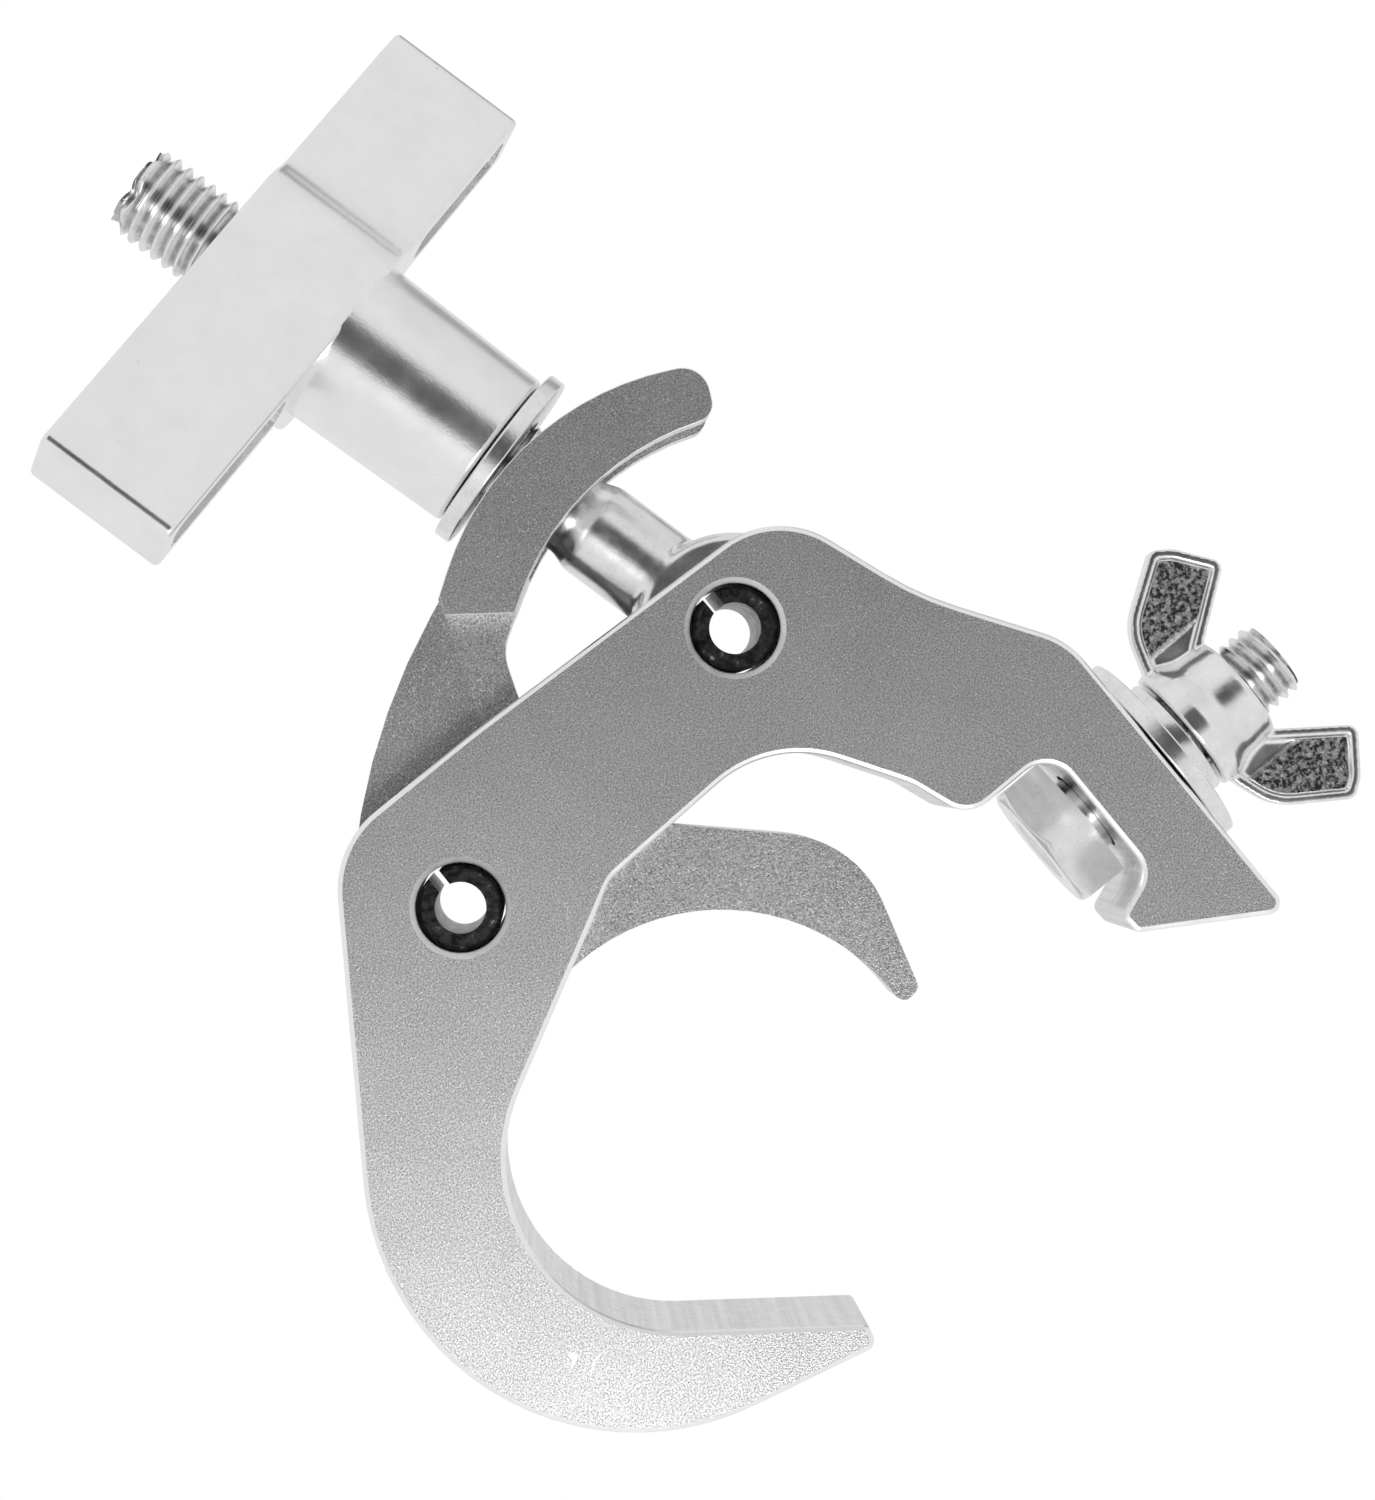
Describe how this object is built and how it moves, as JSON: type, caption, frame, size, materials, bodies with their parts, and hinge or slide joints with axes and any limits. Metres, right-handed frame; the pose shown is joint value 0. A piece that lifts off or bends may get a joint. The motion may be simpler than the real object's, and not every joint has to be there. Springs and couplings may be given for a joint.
{
  "type": "quick trigger clamp",
  "caption": "Hook clamp that hangs from a round tube: a slotted hook, a pivoting jaw closed by a swing bolt with a T-handled knob, and a fixture bolt with a wing nut.",
  "frame": {"origin": "centre of the tube that the hook holds, half way across the hook's width", "axes": "+Y along the tube, -Z along the fixture bolt away from the tube, +X towards the knob"},
  "size_m": [0.1936, 0.0506, 0.1561],
  "materials": {
    "blasted_aluminium": "fine blasted satin on the faces, bright on the bevelled rims",
    "polished_casting": "smooth polished casting",
    "bright_zinc": "bright zinc-plated steel",
    "blackened_steel": "blackened spring steel, slightly glossy"
  },
  "bodies": {
    "hook": {"hook_body": "blasted_aluminium", "jaw_pivot_pin": "blackened_steel", "eye_bolt_pin": "blackened_steel", "fixture_bolt": "bright_zinc", "fixture_washer": "bright_zinc"},
    "arm": {"trigger_arm": "blasted_aluminium"},
    "swing_bolt": {"eye_bolt": "bright_zinc"},
    "washer": {"knob_washer": "bright_zinc"},
    "handle": {"knob": "polished_casting"},
    "lock_washer": {"spring_washer": "bright_zinc"},
    "load_nut": {"wing_nut": "bright_zinc"}
  },
  "joints": [
    {"name": "jaw_pivot", "type": "hinge", "parent": "hook", "child": "arm", "pos_m": [0.0464, 0, 0.001], "axis": [0, 1, 0], "range_deg": [-8, 16.4]},
    {"name": "bolt_swing", "type": "hinge", "parent": "hook", "child": "swing_bolt", "pos_m": [0.0521, 0, -0.0532], "axis": [0, 1, 0], "range_deg": [0, 54]},
    {"name": "washer_travel", "type": "slide", "parent": "swing_bolt", "child": "washer", "axis": [0.9715, 0, 0.2368], "range_m": [-0.0141, 0.0068]},
    {"name": "knob_spin", "type": "hinge", "parent": "washer", "child": "handle", "pos_m": [0.0521, 0, -0.0532], "axis": [0.9715, 0, 0.2368], "range_deg": [-2520, 1200]},
    {"name": "nut_travel", "type": "slide", "parent": "hook", "child": "lock_washer", "axis": [0, 0, -1], "range_m": [0, 0.0065]},
    {"name": "nut_spin", "type": "hinge", "parent": "lock_washer", "child": "load_nut", "pos_m": [0, 0, -0.1], "axis": [0, 0, -1], "range_deg": [0, 1080]}
  ],
  "couplings": [
    {"joint": "washer_travel", "follows": "knob_spin", "m_per_rad": 0.00031831},
    {"joint": "jaw_pivot", "follows": "knob_spin", "ratio": -0.0065},
    {"joint": "nut_travel", "follows": "nut_spin", "m_per_rad": 0.00027852}
  ]
}
